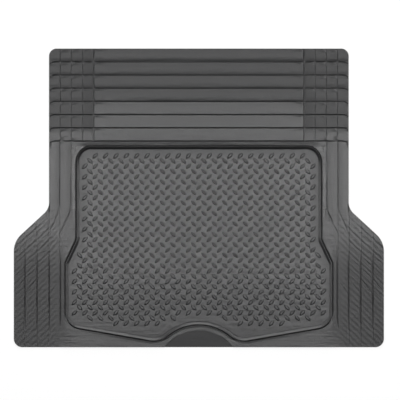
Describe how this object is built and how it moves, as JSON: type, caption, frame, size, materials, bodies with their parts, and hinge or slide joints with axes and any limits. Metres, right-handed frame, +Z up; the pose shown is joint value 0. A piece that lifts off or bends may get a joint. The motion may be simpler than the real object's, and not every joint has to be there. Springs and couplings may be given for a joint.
{
  "type": "car boot floor mat",
  "caption": "Black rubber car floor mat for the boot, trimmed to fit: grooved border bands, flared ears at the rear, and a rimmed tray with a tread of lozenges.",
  "frame": {"origin": "middle of the mat's width and depth, on the flat underside", "axes": "+X across the car along the mat's longest side, +Y toward the banded front edge at the seats, +Z up out of the tray"},
  "size_m": [1.269, 1.024, 0.01],
  "materials": {
    "moulded_rubber": "satin, fine grained"
  },
  "bodies": {
    "root": {"cargo_mat": "moulded_rubber"}
  },
  "joints": []
}
